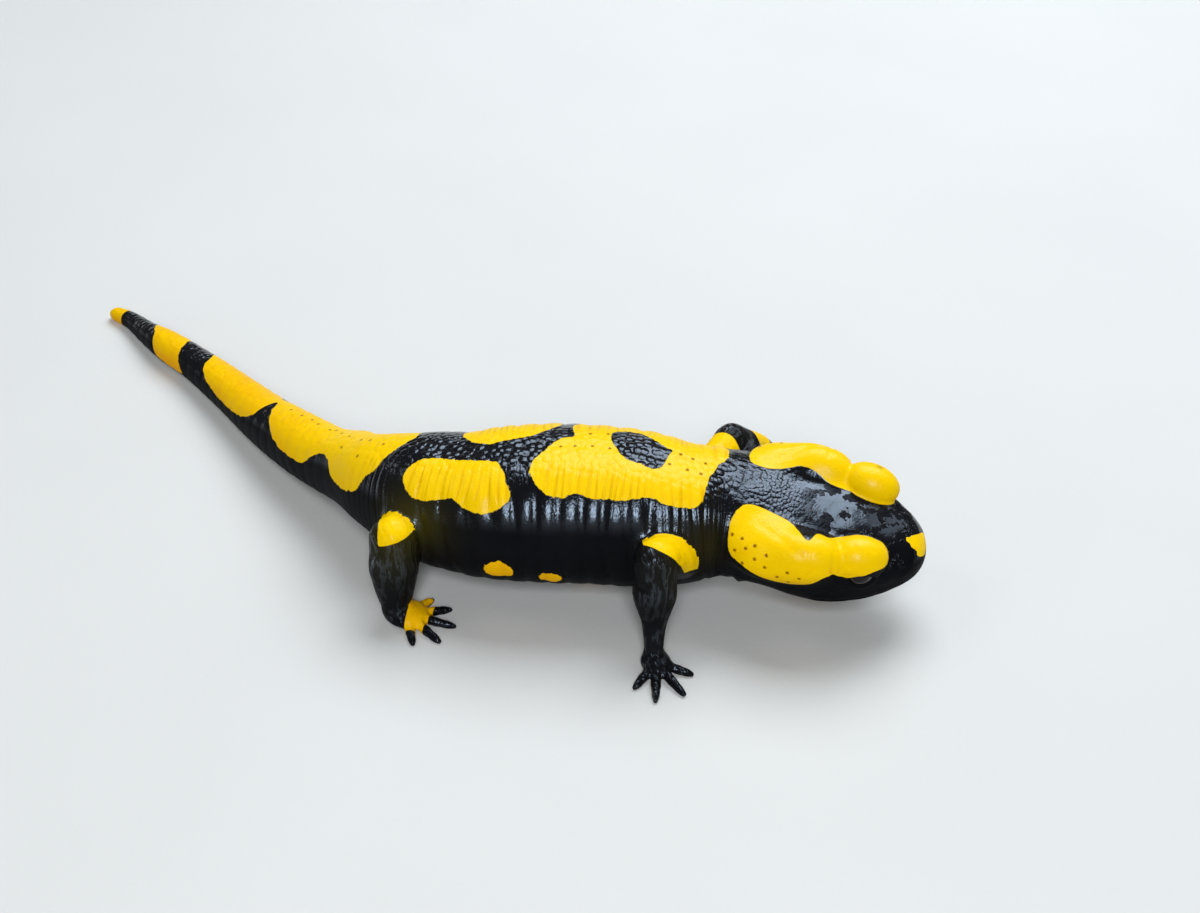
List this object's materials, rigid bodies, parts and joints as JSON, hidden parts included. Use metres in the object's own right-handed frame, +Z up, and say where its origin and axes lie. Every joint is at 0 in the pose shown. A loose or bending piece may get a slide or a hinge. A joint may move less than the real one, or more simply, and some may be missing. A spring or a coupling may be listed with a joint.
{
  "type": "fire salamander model",
  "caption": "Life-size still model of a fire salamander in mid-step, glossy black with yellow blotches, its tail trailing on the floor.",
  "frame": {"origin": "on the floor, under the middle of the animal's bounding box", "axes": "+X the way it walks, towards the snout; +Y its left; +Z up"},
  "size_m": [0.1262, 0.0902, 0.0214],
  "materials": {
    "skin": "wet glossy skin, black with yellow blotches",
    "eye": "dark wet cornea"
  },
  "bodies": {
    "root": {"head": "skin", "lower_jaw": "skin", "eye_left": "eye", "eye_right": "eye", "neck": "skin", "trunk": "skin", "tail_base": "skin", "tail_middle": "skin", "tail_tip": "skin", "front_right_upper_arm": "skin", "front_right_forearm": "skin", "front_right_hand": "skin", "front_left_upper_arm": "skin", "front_left_forearm": "skin", "front_left_hand": "skin", "hind_right_thigh": "skin", "hind_right_shank": "skin", "hind_right_foot": "skin", "hind_left_thigh": "skin", "hind_left_shank": "skin", "hind_left_foot": "skin"}
  },
  "joints": []
}
